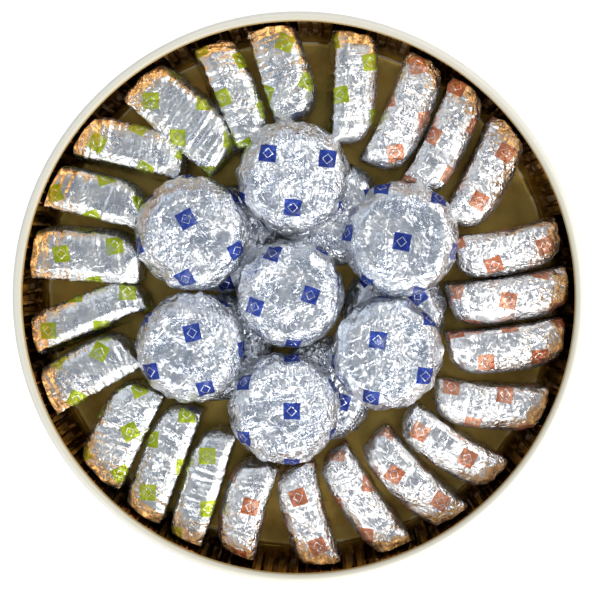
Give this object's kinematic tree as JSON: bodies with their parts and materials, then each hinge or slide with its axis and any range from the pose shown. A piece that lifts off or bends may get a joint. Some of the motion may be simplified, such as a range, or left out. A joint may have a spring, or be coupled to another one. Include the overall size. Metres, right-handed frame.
{
  "type": "box of maamoul",
  "caption": "Open round tin with a pleated gold liner, filled with foil-wrapped maamoul: round ones piled in the middle and loaves on edge around them.",
  "frame": {"origin": "on the tin's axis, at the bottom of its foot", "axes": "+Z up along the tin's axis; +Y is up in the picture and +X is right in it"},
  "size_m": [0.28, 0.28, 0.05],
  "materials": {
    "tin_enamel": "cream enamel, satin",
    "gold_card": "mirror gold laminate on card",
    "foil_blue": "crumpled bright foil printed with small blue squares",
    "foil_green": "crumpled bright foil printed with small lime green squares",
    "foil_copper": "crumpled bright foil printed with small copper squares"
  },
  "bodies": {
    "root": {"box": "tin_enamel", "tray": "gold_card", "disc_low_1": "foil_blue", "disc_low_2": "foil_blue", "disc_low_3": "foil_blue", "disc_low_4": "foil_blue", "disc_low_5": "foil_blue", "disc_top_0": "foil_blue", "disc_top_1": "foil_blue", "disc_top_2": "foil_blue", "disc_top_3": "foil_blue", "disc_top_4": "foil_blue", "disc_top_5": "foil_blue", "disc_top_6": "foil_blue", "green_piece_01": "foil_green", "green_piece_02": "foil_green", "green_piece_03": "foil_green", "green_piece_04": "foil_green", "green_piece_05": "foil_green", "green_piece_06": "foil_green", "green_piece_07": "foil_green", "green_piece_08": "foil_green", "green_piece_09": "foil_green", "green_piece_10": "foil_green", "green_piece_11": "foil_green", "green_piece_12": "foil_green", "copper_piece_01": "foil_copper", "copper_piece_02": "foil_copper", "copper_piece_03": "foil_copper", "copper_piece_04": "foil_copper", "copper_piece_05": "foil_copper", "copper_piece_06": "foil_copper", "copper_piece_07": "foil_copper", "copper_piece_08": "foil_copper", "copper_piece_09": "foil_copper", "copper_piece_10": "foil_copper", "copper_piece_11": "foil_copper", "copper_piece_12": "foil_copper"}
  },
  "joints": []
}
